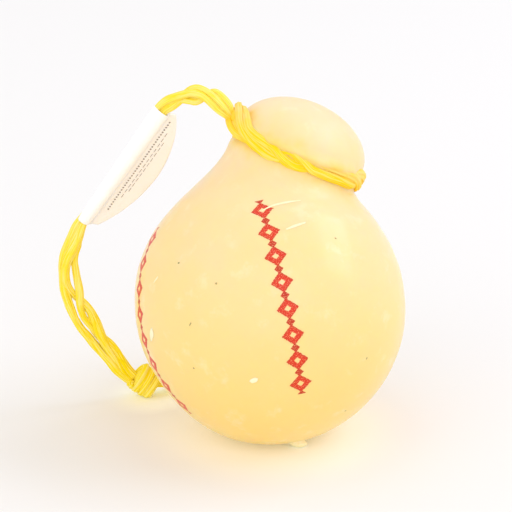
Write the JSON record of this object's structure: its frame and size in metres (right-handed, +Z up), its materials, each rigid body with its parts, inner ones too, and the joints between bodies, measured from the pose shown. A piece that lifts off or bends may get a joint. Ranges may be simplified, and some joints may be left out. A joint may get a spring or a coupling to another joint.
{
  "type": "caciocavallo cheese",
  "caption": "Aged pear-shaped waxed cheese with a domed head, a yellow cord tied round its neck, and a braided cord end with a folded paper label and a knot.",
  "frame": {"origin": "middle of the flat spot under the bulb that the cheese stands on", "axes": "+Z up, +X to the right as seen from the front, -Y to the front; the head leans to +X"},
  "size_m": [0.1867, 0.1456, 0.1854],
  "materials": {
    "wax": "smooth glossy clear wax coat over pale yellow rind",
    "cord": "flat fibrous synthetic strands, slightly glossy",
    "paper": "thin matt paper"
  },
  "bodies": {
    "root": {"cheese": "wax", "neck_cord": "cord", "braid": "cord", "label": "paper", "end_knot": "cord"}
  },
  "joints": []
}
